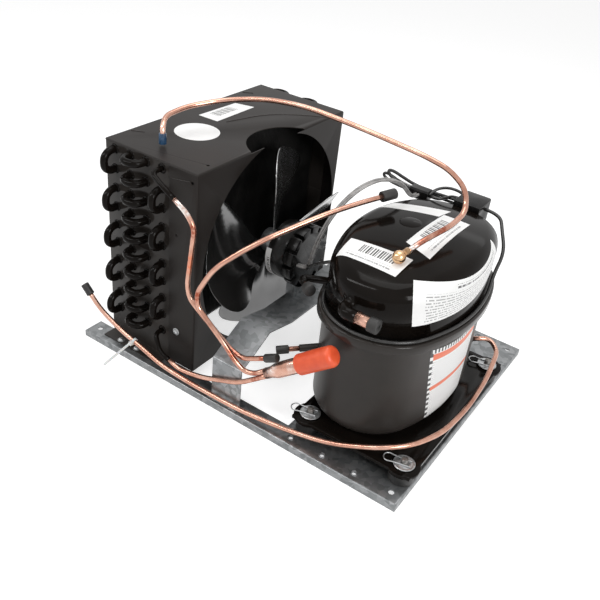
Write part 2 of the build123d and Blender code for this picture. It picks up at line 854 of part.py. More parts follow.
def ledge_side(side, y, z):
    out = math.sqrt(ledge_side_radius**2 - (y - shell_y) ** 2)
    return (shell_x + side * (ledge_half_x - ledge_side_radius + out), y, z)


near_arc = [
    (
        shell_x + ledge_radius * math.cos(math.radians(angle)),
        shell_y - ledge_reach + ledge_radius * math.sin(math.radians(angle)),
        ledge_z,
    )
    for angle in range(210, 331, 20)
]
rim_lead_route = [
    (36, shell_y + 13, 205),
    (45, shell_y + 9, 186),
    (55, shell_y - 5, 172),
    ledge_side(-1, shell_y - 25, ledge_z),
    ledge_side(-1, shell_y - 52, ledge_z),
    *near_arc,
    ledge_side(1, shell_y - 54, ledge_z),
    ledge_side(1, shell_y - 22, ledge_z),
    ledge_side(1, shell_y + 10, ledge_z + 0.6),
    ledge_side(1, shell_y + 42, ledge_z + 3),
    ledge_side(1, shell_y + 72, 182),
    (216, shell_far - 42, 202),
    (200, shell_far - 20, 218),
    (188, cover_back - 15, 228),
    (cover_left + cover_width, cover_back - 15, 228),
]
motor_lead = bent_tube(motor_lead_route, lead_diameter)
keep(motor_lead, "motor_lead")
keep(bent_tube(harness_route, lead_diameter), "harness_lead")
keep(bent_tube(rim_lead_route, lead_diameter), "rim_lead")

# Ties: a nylon strap round the liquid line with its loose tail, a short one on the motor lead
strap_width = 3.0
strap_sheet = 1.2
strap_play = 0.02
tie_place = 10.0


def strap_ring(before, after, position, inner):
    along = (Vector(*after) - Vector(*before)).normalized()
    middle = Vector(*before) + along * position
    with BuildPart() as ring:
        with BuildSketch(Plane(origin=middle, z_dir=along)):
            Circle(inner + strap_play + strap_sheet)
            Circle(inner + strap_play, mode=Mode.SUBTRACT)
        extrude(amount=strap_width)
    return ring.part


tie_head = from_near(-152, -5.2, 26)
with BuildPart() as line_tie:
    add(strap_ring(liquid_line_route[2], liquid_line_route[3], 20, line_diameter / 2))
    with Locations(Location(tie_head, (0, 14, 0))):
        Box(4.5, 5, 5)
    with Locations(Location((tie_head[0] - 1, tie_head[1], tie_head[2]), (8, 0, 2))):
        Box(strap_width, 48, strap_sheet, align=(Align.CENTER, Align.MAX, Align.CENTER))
    add(liquid_line, mode=Mode.SUBTRACT)
keep(line_tie.part, "line_tie")
lead_tie = strap_ring(motor_lead_route[1], motor_lead_route[2], tie_place, lead_diameter / 2)
keep(lead_tie, "lead_tie")
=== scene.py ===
import math
import bmesh
import bpy
from mathutils import Matrix, Vector
from mathutils.bvhtree import BVHTree


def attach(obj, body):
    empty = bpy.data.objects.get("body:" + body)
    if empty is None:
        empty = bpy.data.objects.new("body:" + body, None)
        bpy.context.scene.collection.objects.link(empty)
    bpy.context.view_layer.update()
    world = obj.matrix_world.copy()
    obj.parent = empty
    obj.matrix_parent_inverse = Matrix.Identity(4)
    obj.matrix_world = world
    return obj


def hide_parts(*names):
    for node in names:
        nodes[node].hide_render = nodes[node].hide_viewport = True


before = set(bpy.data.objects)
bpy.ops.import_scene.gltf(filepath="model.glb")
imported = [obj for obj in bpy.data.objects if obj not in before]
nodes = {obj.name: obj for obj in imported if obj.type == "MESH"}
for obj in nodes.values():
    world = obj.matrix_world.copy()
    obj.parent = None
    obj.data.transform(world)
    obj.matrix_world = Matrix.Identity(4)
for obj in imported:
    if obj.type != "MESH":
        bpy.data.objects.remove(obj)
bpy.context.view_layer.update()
mm = 0.001
noiseRoughness = 0.55
weldDistance = 2e-6
paperTint = (0.94, 0.94, 0.93)
glossyRim = 0.13
print("frame loaded")


# Materials: small helpers first

def startMaterial(name, **values):
    material = bpy.data.materials.new(name)
    material.use_nodes = True
    tree = material.node_tree
    shader = tree.nodes["Principled BSDF"]
    for socketName, value in values.items():
        shader.inputs[socketName.replace("_", " ")].default_value = value
    return material, tree, shader


def addNode(tree, kind, **values):
    node = tree.nodes.new(kind)
    for socketName, value in values.items():
        node.inputs[socketName].default_value = value
    return node


def objectNoise(tree, scale, detail=4.0):
    coordinates = addNode(tree, "ShaderNodeTexCoord")
    noise = addNode(tree, "ShaderNodeTexNoise", Scale=scale, Detail=detail, Roughness=noiseRoughness)
    tree.links.new(coordinates.outputs["Object"], noise.inputs["Vector"])
    return noise.outputs["Fac"]


def ramp(tree, source, stops):
    node = tree.nodes.new("ShaderNodeValToRGB")
    elements = node.color_ramp.elements
    while len(elements) < len(stops):
        elements.new(0.5)
    for element, (position, color) in zip(elements, stops):
        element.position = position
        element.color = color if len(color) == 4 else (*color, 1)
    tree.links.new(source, node.inputs["Fac"])
    return node.outputs["Color"]


def remap(tree, source, low, high, fromLow=0.3, fromHigh=0.7):
    node = addNode(tree, "ShaderNodeMapRange")
    ends = {"From Min": fromLow, "From Max": fromHigh, "To Min": low, "To Max": high}
    for socketName, value in ends.items():
        node.inputs[socketName].default_value = value
    tree.links.new(source, node.inputs["Value"])
    return node.outputs["Result"]


def calculate(tree, operation, first, second=0.0):
    node = tree.nodes.new("ShaderNodeMath")
    node.operation = operation
    for socket, value in zip(node.inputs, (first, second)):
        if isinstance(value, (int, float)):
            socket.default_value = value
        else:
            tree.links.new(value, socket)
    return node.outputs[0]


def addBump(tree, shader, height, strength, distance):
    bump = addNode(tree, "ShaderNodeBump", Strength=strength, Distance=distance)
    tree.links.new(height, bump.inputs["Height"])
    tree.links.new(bump.outputs["Normal"], shader.inputs["Normal"])


def mixColor(tree, factor, first, second, blend="MIX"):
    node = tree.nodes.new("ShaderNodeMix")
    node.data_type = "RGBA"
    node.blend_type = blend
    for socket, value in ((node.inputs[0], factor), (node.inputs[6], first), (node.inputs[7], second)):
        if isinstance(value, (int, float)):
            socket.default_value = value
        elif isinstance(value, tuple):
            socket.default_value = (*value, 1)
        else:
            tree.links.new(value, socket)
    return node.outputs[2]


def grainedMaterial(name, dark, light, grain, metallic, rough, bump=0.0, **values):
    material, tree, shader = startMaterial(name, **values)
    shader.inputs["Metallic"].default_value = metallic
    noise = objectNoise(tree, grain)
    tree.links.new(ramp(tree, noise, [(0.32, dark), (0.68, light)]), shader.inputs["Base Color"])
    tree.links.new(remap(tree, noise, *rough), shader.inputs["Roughness"])
    if bump:
        fine = objectNoise(tree, grain * 6, detail=3)
        addBump(tree, shader, fine, bump, 0.0004)
    return material


def galvanisedMaterial():
    material, tree, shader = startMaterial("galvanisedSheet", Metallic=0.85)
    coordinates = addNode(tree, "ShaderNodeTexCoord")
    spangle = addNode(tree, "ShaderNodeTexVoronoi", Scale=150)
    tree.links.new(coordinates.outputs["Object"], spangle.inputs["Vector"])
    cloud = objectNoise(tree, 9, detail=5)
    spangleStops = [(0.2, (0.205, 0.213, 0.216)), (0.8, (0.33, 0.337, 0.342))]
    spangleTone = ramp(tree, spangle.outputs["Color"], spangleStops)
    cloudTone = ramp(tree, cloud, [(0.35, (0.80, 0.81, 0.82)), (0.65, (1, 1, 1))])
    tone = mixColor(tree, 1.0, spangleTone, cloudTone, "MULTIPLY")
    tree.links.new(tone, shader.inputs["Base Color"])
    tree.links.new(remap(tree, cloud, 0.30, 0.48), shader.inputs["Roughness"])
    addBump(tree, shader, spangle.outputs["Distance"], 0.05, 0.0003)
    return material


def glossPaintMaterial(name, dark, light, rough, gloss, satinBelow=0):
    material, tree, shader = startMaterial(name, Metallic=0.0, Specular_IOR_Level=gloss)
    cloud = objectNoise(tree, 14, detail=3)
    tree.links.new(ramp(tree, cloud, [(0.35, dark), (0.68, light)]), shader.inputs["Base Color"])
    roughness = remap(tree, cloud, *rough)
    if satinBelow:
        coordinates = addNode(tree, "ShaderNodeTexCoord")
        split = tree.nodes.new("ShaderNodeSeparateXYZ")
        tree.links.new(coordinates.outputs["Object"], split.inputs[0])
        wall = calculate(tree, "LESS_THAN", split.outputs["Z"], satinBelow * mm)
        roughness = calculate(tree, "MAXIMUM", calculate(tree, "MULTIPLY", roughness, wall), glossyRim)
    tree.links.new(roughness, shader.inputs["Roughness"])
    addBump(tree, shader, objectNoise(tree, 55, detail=2), 0.03, 0.0005)
    return material


def nearSpot(tree, place, radius):
    coordinates = addNode(tree, "ShaderNodeTexCoord")
    gap = tree.nodes.new("ShaderNodeVectorMath")
    gap.operation = "DISTANCE"
    gap.inputs[1].default_value = [c * mm for c in place]
    tree.links.new(coordinates.outputs["Object"], gap.inputs[0])
    return remap(tree, gap.outputs["Value"], 1.0, 0.0, 0.45 * radius * mm, radius * mm)


def copperMaterial():
    material, tree, shader = startMaterial("drawnCopper", Metallic=0.93)
    cloud = objectNoise(tree, 22, detail=5)
    streak = objectNoise(tree, 160, detail=2)
    tones = [(0.30, (0.36, 0.16, 0.11)), (0.50, (0.56, 0.30, 0.22)), (0.72, (0.68, 0.43, 0.34))]
    bright = ramp(tree, streak, [(0.4, (0.50, 0.26, 0.19)), (0.7, (0.74, 0.50, 0.41))])
    tone = mixColor(tree, 0.25, ramp(tree, cloud, tones), bright)
    patchy = remap(tree, objectNoise(tree, 240, detail=3), 0.25, 1.0, 0.35, 0.60)
    # Each entry tints the copper near a point: heat tint, scale and solder, plus one painted highlight.
    for place, radius, markTone in heatMarksAndPaintedHighlight:
        strength = calculate(tree, "MULTIPLY", nearSpot(tree, place, radius), patchy)
        tone = mixColor(tree, strength, tone, markTone)
    tree.links.new(tone, shader.inputs["Base Color"])
    tree.links.new(remap(tree, cloud, 0.17, 0.29), shader.inputs["Roughness"])
    addBump(tree, shader, streak, 0.02, 0.0003)
    return material


burntRed, darkScale, silverSolder = (0.30, 0.075, 0.04), (0.10, 0.055, 0.045), (0.84, 0.81, 0.78)
heatMarksAndPaintedHighlight = [
    ((-92, -182, 250), 9, darkScale), ((-84, -181, 245), 9, silverSolder), ((-76, -180.5, 240), 8, silverSolder),
    ((-66, -181, 222), 14, burntRed), ((-68, -181, 178), 18, (0.62, 0.20, 0.11)),
    ((48, -181.5, 98), 12, burntRed), ((56, -180.5, 84), 13, darkScale), ((62, -180, 92), 12, silverSolder),
    ((76, -178, 97), 10, darkScale), ((88, -177, 104), 12, silverSolder), ((40, -184, 66), 10, burntRed),
    ((158, -88, 252), 13, silverSolder), ((165, -78, 256), 14, burntRed), ((174, -50, 260), 16, burntRed),
    # The pale pink spot at (-158, -130, 300) is a painted highlight; the other entries are heat tint, scale and
    # solder.
    ((-158, -130, 300), 10, (0.95, 0.62, 0.50)), ((-46, -191, 146), 12, burntRed), ((4, -190, 88), 16, burntRed),
]


def patchCoordinate(tree, axis):
    coordinates = addNode(tree, "ShaderNodeTexCoord")
    split = tree.nodes.new("ShaderNodeSeparateXYZ")
    tree.links.new(coordinates.outputs["UV"], split.inputs[0])
    return split.outputs[axis]


def band(tree, value, low, high):
    above = calculate(tree, "GREATER_THAN", value, low)
    below = calculate(tree, "LESS_THAN", value, high)
    return calculate(tree, "MULTIPLY", above, below)


def paperMaterial(name, marks=()):
    material, tree, shader = startMaterial(name, Roughness=0.42, Coat_Weight=0.25, Coat_Roughness=0.2)
    across, along = patchCoordinate(tree, "X"), patchCoordinate(tree, "Y")
    shade = tuple(0.96 * c for c in paperTint)
    tone = ramp(tree, objectNoise(tree, 60), [(0.3, shade), (0.7, paperTint)])
    for mark in marks:
        inside = calculate(tree, "MULTIPLY", band(tree, across, *mark["x"]), band(tree, along, *mark["y"]))
        if mark.get("lines"):
            count, share, runsAcross = mark["lines"]
            source = across if runsAcross else along
            phase = calculate(tree, "FRACT", calculate(tree, "MULTIPLY", source, count))
            if mark.get("uneven"):
                step = calculate(tree, "FLOOR", calculate(tree, "MULTIPLY", source, count))
                wave = calculate(tree, "SINE", calculate(tree, "MULTIPLY", step, 2.3))
                share = calculate(tree, "MULTIPLY_ADD", wave, 0.2)
                share.node.inputs[2].default_value = 0.5
            line = calculate(tree, "LESS_THAN", phase, share)
            inside = calculate(tree, "MULTIPLY", inside, line)
            if mark.get("broken"):
                row = calculate(tree, "FLOOR", calculate(tree, "MULTIPLY", along, count))
                start = calculate(tree, "MULTIPLY", row, 3.7)
                shifted = calculate(tree, "ADD", calculate(tree, "MULTIPLY", across, 40), start)
                words = addNode(tree, "ShaderNodeTexNoise", Scale=1.6, Detail=1.0)
                words.noise_dimensions = "1D"
                tree.links.new(shifted, words.inputs["W"])
                printed = calculate(tree, "GREATER_THAN", words.outputs["Fac"], 0.44)
                inside = calculate(tree, "MULTIPLY", inside, printed)
        tone = mixColor(tree, inside, tone, mark["ink"])
    tree.links.new(tone, shader.inputs["Base Color"])
    return material


galvanised = galvanisedMaterial()
blackGloss = glossPaintMaterial(
    "blackGlossPaint", dark=(0.0046, 0.0034, 0.0027), light=(0.0085, 0.0066, 0.0054), rough=(0.08, 0.14), gloss=0.075,
)
blackSatin = glossPaintMaterial(
    "blackSatinPaint", dark=(0.024, 0.0204, 0.0180), light=(0.035, 0.0304, 0.0272), rough=(0.30, 0.40), gloss=0.20,
    satinBelow=151,
)
charcoalPaint = grainedMaterial(
    "charcoalPaint", dark=(0.015, 0.0122, 0.0108), light=(0.022, 0.0186, 0.0168),
    grain=16, metallic=0.0, rough=(0.38, 0.47), bump=0.08, Specular_IOR_Level=0.16,
)
drawnCopper = copperMaterial()
polishedBrass = grainedMaterial(
    "polishedBrass", dark=(0.50, 0.27, 0.12), light=(0.80, 0.55, 0.33),
    grain=130, metallic=0.95, rough=(0.14, 0.28), bump=0.04,
)
brightFan = grainedMaterial(
    "brightRolledSheet", dark=(0.20, 0.20, 0.20), light=(0.32, 0.32, 0.32),
    grain=6, metallic=0.97, rough=(0.12, 0.20), bump=0.01,
)
zincSteel = grainedMaterial(
    "zincSteel", dark=(0.36, 0.37, 0.375), light=(0.54, 0.55, 0.555),
    grain=220, metallic=0.85, rough=(0.26, 0.40), bump=0.06,
)
darkZinc = grainedMaterial(
    "darkZinc", dark=(0.10, 0.095, 0.09), light=(0.34, 0.32, 0.30),
    grain=260, metallic=0.7, rough=(0.26, 0.45), bump=0.10,
)
blackRubber = grainedMaterial(
    "blackRubber", dark=(0.009, 0.0085, 0.008), light=(0.021, 0.020, 0.019),
    grain=60, metallic=0.0, rough=(0.42, 0.66), bump=0.12,
)
redVinyl = grainedMaterial(
    "redVinyl", dark=(0.80, 0.085, 0.028), light=(0.93, 0.13, 0.045),
    grain=70, metallic=0.0, rough=(0.30, 0.46), bump=0.05, Subsurface_Weight=0.10,
)
blueVinyl = grainedMaterial(
    "blueVinyl", dark=(0.010, 0.035, 0.085), light=(0.035, 0.10, 0.20),
    grain=120, metallic=0.0, rough=(0.18, 0.34), bump=0.05,
)
blackPlastic = grainedMaterial(
    "blackPlastic", dark=(0.004, 0.0037, 0.0034), light=(0.011, 0.0104, 0.010),
    grain=90, metallic=0.0, rough=(0.16, 0.28), bump=0.03, Specular_IOR_Level=0.20,
)
whiteNylon = grainedMaterial(
    "whiteNylon", dark=(0.72, 0.72, 0.70), light=(0.84, 0.84, 0.82),
    grain=120, metallic=0.0, rough=(0.34, 0.5), bump=0.04, Subsurface_Weight=0.15,
)
greyLead = grainedMaterial(
    "greySheath", dark=(0.24, 0.235, 0.23), light=(0.40, 0.39, 0.38),
    grain=110, metallic=0.0, rough=(0.20, 0.34), bump=0.03,
)
darkLead = grainedMaterial(
    "darkSheath", dark=(0.012, 0.0115, 0.011), light=(0.028, 0.027, 0.026),
    grain=110, metallic=0.0, rough=(0.24, 0.38), bump=0.03,
)
finMetal = grainedMaterial(
    "finMetal", dark=(0.010, 0.010, 0.010), light=(0.026, 0.025, 0.024),
    grain=40, metallic=0.3, rough=(0.35, 0.5),
)
inkBlack, inkGrey, inkOrange = (0.03, 0.03, 0.03), (0.33, 0.33, 0.33), (0.82, 0.16, 0.06)
barPaper = paperMaterial("barPaper", [
    {"x": (0.25, 0.82), "y": (0.44, 0.86), "ink": (0.04, 0.04, 0.04), "lines": (25, 0.5, True), "uneven": True},
    {"x": (0.12, 0.86), "y": (0.14, 0.30), "ink": inkGrey, "lines": (7, 0.45, False), "broken": True},
])
slimBarPaper = paperMaterial("slimBarPaper", [
    {"x": (0.20, 0.72), "y": (0.34, 0.84), "ink": (0.12, 0.12, 0.12), "lines": (24, 0.5, True), "uneven": True},
])
ruledPaper = paperMaterial("ruledPaper", [
    {"x": (0.07, 0.95), "y": (0.06, 0.72), "ink": inkGrey, "lines": (14, 0.36, False), "broken": True},
    {"x": (0.30, 0.92), "y": (0.79, 0.90), "ink": (0.10, 0.10, 0.10), "lines": (9, 0.62, False), "broken": True},
])
stripedPaper = paperMaterial("stripedPaper", [
    {"x": (0.04, 1.0), "y": (0.05, 0.88), "ink": (0.55, 0.55, 0.55), "lines": (32, 0.34, False), "broken": True},
    {"x": (0.042, 1.0), "y": (0.880, 0.950), "ink": inkOrange},
    {"x": (0.042, 1.0), "y": (0.440, 0.500), "ink": inkOrange},
    {"x": (0.0, 0.042), "y": (0.0, 1.0), "ink": inkBlack, "lines": (13, 0.5, False)},
    {"x": (0.0, 1.0), "y": (0.958, 1.0), "ink": inkBlack, "lines": (19, 0.5, True)},
    {"x": (0.0, 1.0), "y": (0.0, 0.040), "ink": inkBlack, "lines": (19, 0.5, True)},
])
plainPaper = paperMaterial("plainPaper")
print("materials ready")


# Pieces: a merged, smooth copy of each solid, with its edges softened

def addPiece(name, mesh, look, body="unit", stands=()):
    piece = bpy.data.objects.new(name, mesh)
    bpy.context.scene.collection.objects.link(piece)
    mesh.materials.clear()
    mesh.materials.append(look)
    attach(piece, body)
    if stands:
        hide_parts(*stands)
    return piece


def solidMesh(nodeName, flatten=0.0):
    source = nodes[nodeName]
    model = bmesh.new()
    model.from_mesh(source.data)
    bmesh.ops.transform(model, matrix=source.matrix_world, verts=model.verts)
    bmesh.ops.remove_doubles(model, verts=model.verts, dist=weldDistance)
    if flatten:
        limit = math.radians(flatten)
        bmesh.ops.dissolve_limit(model, angle_limit=limit, verts=model.verts, edges=model.edges)
    bmesh.ops.recalc_face_normals(model, faces=model.faces)
    mesh = bpy.data.meshes.new(nodeName + "Skin")
    model.to_mesh(mesh)
    model.free()
    return mesh


def softenShading(mesh, angle=35):
    mesh.shade_smooth()
    mesh.set_sharp_from_angle(angle=math.radians(angle))


def settled(piece):
    graph = bpy.context.evaluated_depsgraph_get()
    mesh = bpy.data.meshes.new_from_object(piece.evaluated_get(graph), depsgraph=graph)
    bpy.data.objects.remove(piece)
    return mesh


def scratchObject(name, mesh):
    holder = bpy.data.objects.new(name, mesh)
    bpy.context.scene.collection.objects.link(holder)
    return holder


def smoothPiece(nodeName, look, body="unit", bevel=0.0, angle=35):
    mesh = solidMesh(nodeName, flatten=0.6 if bevel else 0.0)
    if bevel:
        holder = scratchObject(nodeName + "Edge", mesh)
        cut = holder.modifiers.new("edge", "BEVEL")
        cut.width = bevel * mm
        cut.segments = 2
        cut.limit_method = "ANGLE"
        cut.angle_limit = math.radians(50)
        cut.harden_normals = False
        mesh = settled(holder)
    softenShading(mesh, angle)
    return addPiece(nodeName + "Skin", mesh, look, body, [nodeName])


skinSettings = [
    ("base_plate", galvanised, 0.3), ("motor_bracket", galvanised, 0.7), ("motor_cradle", galvanised, 0.4),
    ("coil_plate_near", blackSatin, 0.3), ("coil_plate_far", blackSatin, 0.3), ("shroud", charcoalPaint, 0.3),
    ("inlet_stub", blackGloss, 0), ("outlet_stub", blackGloss, 0),
    ("compressor_lower_shell", blackSatin, 1.0), ("compressor_upper_shell", blackGloss, 0),
    ("compressor_foot", blackGloss, 0.8),
    ("inlet_line", drawnCopper, 0), ("outlet_line", drawnCopper, 0), ("access_tube", drawnCopper, 0),
    ("liquid_line", drawnCopper, 0), ("tap_line", drawnCopper, 0), ("filter_drier", drawnCopper, 0),
    ("suction_stub", drawnCopper, 0), ("process_stub", drawnCopper, 0), ("spare_stub", drawnCopper, 0),
    ("ball_fitting", polishedBrass, 0),
    ("foot_studs", darkZinc, 0.5), ("stud_washers", zincSteel, 0.3),
    ("foot_grommets", blackRubber, 0.8), ("inlet_cap", blackRubber, 0.8), ("access_cap", blackRubber, 0.8),
    ("liquid_cap", blackRubber, 0.8), ("suction_cap", blackRubber, 1.2), ("process_cap", blackRubber, 0.8),
    ("spare_cap", blackRubber, 1.2), ("drier_cap", redVinyl, 0), ("tap_cap", blueVinyl, 0.6),
    ("motor_body", blackPlastic, 0), ("motor_rear_bell", blackPlastic, 0.6), ("terminal_cover", blackPlastic, 1.0),
    ("connector_block", blackPlastic, 0.5), ("lead_tie", blackPlastic, 0.2), ("line_tie", whiteNylon, 0.2),
    ("harness_lead", darkLead, 0),
]
flatSheets = ("motor_bracket", "base_plate", "shroud", "motor_cradle")
for nodeName, look, bevel in skinSettings:
    smoothPiece(nodeName, look, "unit", bevel, 22 if nodeName in flatSheets else 35)
smoothPiece("fan_blades", brightFan, "fan", 0.3, 40)
smoothPiece("fan_hub", zincSteel, "fan", 0.8)
smoothPiece("fan_shaft", zincSteel, "fan", 0.3)
print("smooth skins")


# Geometry Nodes: one tree sets a part on every marked point, another stacks sheets

def scatterTree():
    tree = bpy.data.node_groups.new("setPartsOnPoints", "GeometryNodeTree")
    face = tree.interface
    face.new_socket("Geometry", in_out="INPUT", socket_type="NodeSocketGeometry")
    face.new_socket("Part", in_out="INPUT", socket_type="NodeSocketObject")
    face.new_socket("Look", in_out="INPUT", socket_type="NodeSocketMaterial")
    spread = face.new_socket("Twist Spread", in_out="INPUT", socket_type="NodeSocketFloat")
    spread.min_value, spread.max_value = 0.0, 3.2
    face.new_socket("Seed", in_out="INPUT", socket_type="NodeSocketInt")
    face.new_socket("Geometry", in_out="OUTPUT", socket_type="NodeSocketGeometry")
    inputs = tree.nodes.new("NodeGroupInput")
    outputs = tree.nodes.new("NodeGroupOutput")
    part = tree.nodes.new("GeometryNodeObjectInfo")
    tree.links.new(inputs.outputs["Part"], part.inputs["Object"])
    turn = tree.nodes.new("GeometryNodeInputNamedAttribute")
    turn.data_type = "FLOAT_VECTOR"
    turn.inputs["Name"].default_value = "turn"
    twist = tree.nodes.new("FunctionNodeRandomValue")
    twist.data_type = "FLOAT"
    tree.links.new(inputs.outputs["Seed"], twist.inputs["Seed"])
    tree.links.new(inputs.outputs["Twist Spread"], twist.inputs[3])
    twistAxis = tree.nodes.new("ShaderNodeCombineXYZ")
    tree.links.new(twist.outputs[1], twistAxis.inputs["Z"])
    toRotation = tree.nodes.new("FunctionNodeEulerToRotation")
    tree.links.new(turn.outputs["Attribute"], toRotation.inputs[0])
    twistRotation = tree.nodes.new("FunctionNodeEulerToRotation")
    tree.links.new(twistAxis.outputs[0], twistRotation.inputs[0])
    both = tree.nodes.new("FunctionNodeRotateRotation")
    both.rotation_space = "LOCAL"
    tree.links.new(toRotation.outputs[0], both.inputs[0])
    tree.links.new(twistRotation.outputs[0], both.inputs[1])
    setParts = tree.nodes.new("GeometryNodeInstanceOnPoints")
    tree.links.new(inputs.outputs["Geometry"], setParts.inputs["Points"])
    tree.links.new(part.outputs["Geometry"], setParts.inputs["Instance"])
    tree.links.new(both.outputs[0], setParts.inputs["Rotation"])
    real = tree.nodes.new("GeometryNodeRealizeInstances")
    tree.links.new(setParts.outputs["Instances"], real.inputs["Geometry"])
    paint = tree.nodes.new("GeometryNodeSetMaterial")
    tree.links.new(real.outputs["Geometry"], paint.inputs["Geometry"])
    tree.links.new(inputs.outputs["Look"], paint.inputs["Material"])
    tree.links.new(paint.outputs["Geometry"], outputs.inputs["Geometry"])
    return tree


def stackTree():
    tree = bpy.data.node_groups.new("stackThinSheets", "GeometryNodeTree")
    face = tree.interface
    for name in ("Count", "Pitch", "Sheet", "Width", "Height", "Ripple", "Ripples", "Jitter", "Seed"):
        kind = "NodeSocketInt" if name in ("Count", "Seed") else "NodeSocketFloat"
        face.new_socket(name, in_out="INPUT", socket_type=kind)
    face.new_socket("Look", in_out="INPUT", socket_type="NodeSocketMaterial")
    face.new_socket("Geometry", in_out="OUTPUT", socket_type="NodeSocketGeometry")
    inputs = tree.nodes.new("NodeGroupInput")
    outputs = tree.nodes.new("NodeGroupOutput")
    step = tree.nodes.new("ShaderNodeCombineXYZ")
    tree.links.new(inputs.outputs["Pitch"], step.inputs["Y"])
    row = tree.nodes.new("GeometryNodeMeshLine")
    tree.links.new(inputs.outputs["Count"], row.inputs["Count"])
    tree.links.new(step.outputs[0], row.inputs["Offset"])
    size = tree.nodes.new("ShaderNodeCombineXYZ")
    for socket, name in (("X", "Width"), ("Y", "Sheet"), ("Z", "Height")):
        tree.links.new(inputs.outputs[name], size.inputs[socket])
    sheet = tree.nodes.new("GeometryNodeMeshCube")
    sheet.inputs["Vertices X"].default_value = 25
    tree.links.new(size.outputs[0], sheet.inputs["Size"])
    stack = tree.nodes.new("GeometryNodeInstanceOnPoints")
    tree.links.new(row.outputs["Mesh"], stack.inputs["Points"])
    tree.links.new(sheet.outputs["Mesh"], stack.inputs["Instance"])
    nudge = tree.nodes.new("FunctionNodeRandomValue")
    nudge.data_type = "FLOAT"
    tree.links.new(inputs.outputs["Seed"], nudge.inputs["Seed"])
    tree.links.new(inputs.outputs["Jitter"], nudge.inputs[3])
    nudgeAlong = tree.nodes.new("ShaderNodeCombineXYZ")
    tree.links.new(nudge.outputs[1], nudgeAlong.inputs["Y"])
    shift = tree.nodes.new("GeometryNodeTranslateInstances")
    tree.links.new(stack.outputs["Instances"], shift.inputs["Instances"])
    tree.links.new(nudgeAlong.outputs[0], shift.inputs["Translation"])
    real = tree.nodes.new("GeometryNodeRealizeInstances")
    tree.links.new(shift.outputs["Instances"], real.inputs["Geometry"])
    place = tree.nodes.new("GeometryNodeInputPosition")
    split = tree.nodes.new("ShaderNodeSeparateXYZ")
    tree.links.new(place.outputs[0], split.inputs[0])
    wave = calculate(tree, "SINE", calculate(tree, "MULTIPLY", split.outputs["X"], inputs.outputs["Ripples"]))
    lift = tree.nodes.new("ShaderNodeCombineXYZ")
    tree.links.new(calculate(tree, "MULTIPLY", wave, inputs.outputs["Ripple"]), lift.inputs["Y"])
    bend = tree.nodes.new("GeometryNodeSetPosition")
    tree.links.new(real.outputs["Geometry"], bend.inputs["Geometry"])
    tree.links.new(lift.outputs[0], bend.inputs["Offset"])
    paint = tree.nodes.new("GeometryNodeSetMaterial")
    tree.links.new(bend.outputs["Geometry"], paint.inputs["Geometry"])
    tree.links.new(inputs.outputs["Look"], paint.inputs["Material"])
    tree.links.new(paint.outputs["Geometry"], outputs.inputs["Geometry"])
    return tree


partsOnPoints = scatterTree()
thinStack = stackTree()


def setInputs(modifier, **values):
    for item in modifier.node_group.interface.items_tree:
        key = item.name.replace(" ", "_")
        if item.in_out == "INPUT" and key in values:
            modifier[item.identifier] = values[key]


def scatter(name, part, places, look, stands=(), spread=0.0, seed=1, angle=35):
    mesh = bpy.data.meshes.new(name)
    mesh.from_pydata([place for place, turn in places], [], [])
    turns = mesh.attributes.new("turn", "FLOAT_VECTOR", "POINT")
    for number, (place, turn) in enumerate(places):
        turns.data[number].vector = turn
    holder = scratchObject(name + "Points", mesh)
    modifier = holder.modifiers.new("parts", "NODES")
    modifier.node_group = partsOnPoints
    setInputs(modifier, Part=part, Look=look, Twist_Spread=spread, Seed=seed)
    made = settled(holder)
    softenShading(made, angle)
    bpy.data.objects.remove(part)
    return addPiece(name, made, look, "unit", stands)


def tubeMesh(points, radius, sides=7):
    curve = bpy.data.curves.new("route", "CURVE")
    curve.dimensions = "3D"
    curve.bevel_depth = radius
    curve.bevel_resolution = sides
    curve.use_fill_caps = True
    spline = curve.splines.new("NURBS")
    spline.points.add(len(points) - 1)
    for number, point in enumerate(points):
        spline.points[number].co = (*point, 1)
    spline.order_u = 3
    spline.use_endpoint_u = True
    spline.resolution_u = 8
    holder = bpy.data.objects.new("route", curve)
    bpy.context.scene.collection.objects.link(holder)
    graph = bpy.context.evaluated_depsgraph_get()
    mesh = bpy.data.meshes.new_from_object(holder.evaluated_get(graph), depsgraph=graph)
    bpy.data.objects.remove(holder)
    softenShading(mesh, 50)
    return mesh


def turnedMesh(profile, steps=32):
    model = bmesh.new()
    rings = []
    for radius, height in profile:
        if radius == 0:
            rings.append([model.verts.new((0, 0, height * mm))])
            continue
        ring = []
        for step in range(steps):
            angle = 2 * math.pi * step / steps
            place = Vector((radius * math.cos(angle), radius * math.sin(angle), height)) * mm
            ring.append(model.verts.new(place))
        rings.append(ring)
    for low, high in zip(rings, rings[1:]):
        for step in range(max(len(low), len(high))):
            after = (step + 1) % max(len(low), len(high))
            if len(low) == 1:
                model.faces.new((low[0], high[after], high[step]))
            elif len(high) == 1:
                model.faces.new((low[step], low[after], high[0]))
            else:
                model.faces.new((low[step], low[after], high[after], high[step]))
    bmesh.ops.recalc_face_normals(model, faces=model.faces)
    mesh = bpy.data.meshes.new("turned")
    model.to_mesh(mesh)
    model.free()
    softenShading(mesh)
    return mesh


# Coil: smooth return bends, rippled fins and the tubes that run through them
coil = {
    "rowX": [-205 + 25.4 * row for row in range(4)],
    "lowestTube": 41, "pitch": 25.4, "tubeRadius": 4.75, "leg": 6,
    "plateNear": -161.8, "plateFar": 145.8,
    "finCount": 102, "finPitch": 2.98, "finSheet": 0.28, "finNear": -159.6, "finHeight": 249.4, "finMiddle": 152.9,
    "finWidth": 100.4, "finCentre": -167.5, "ripple": 0.5, "ripples": 495, "jitter": 0.25,
    "tubeLength": 305, "tubeStart": 145.2,
}


def tubeZ(number):
    return coil["lowestTube"] + coil["pitch"] * number


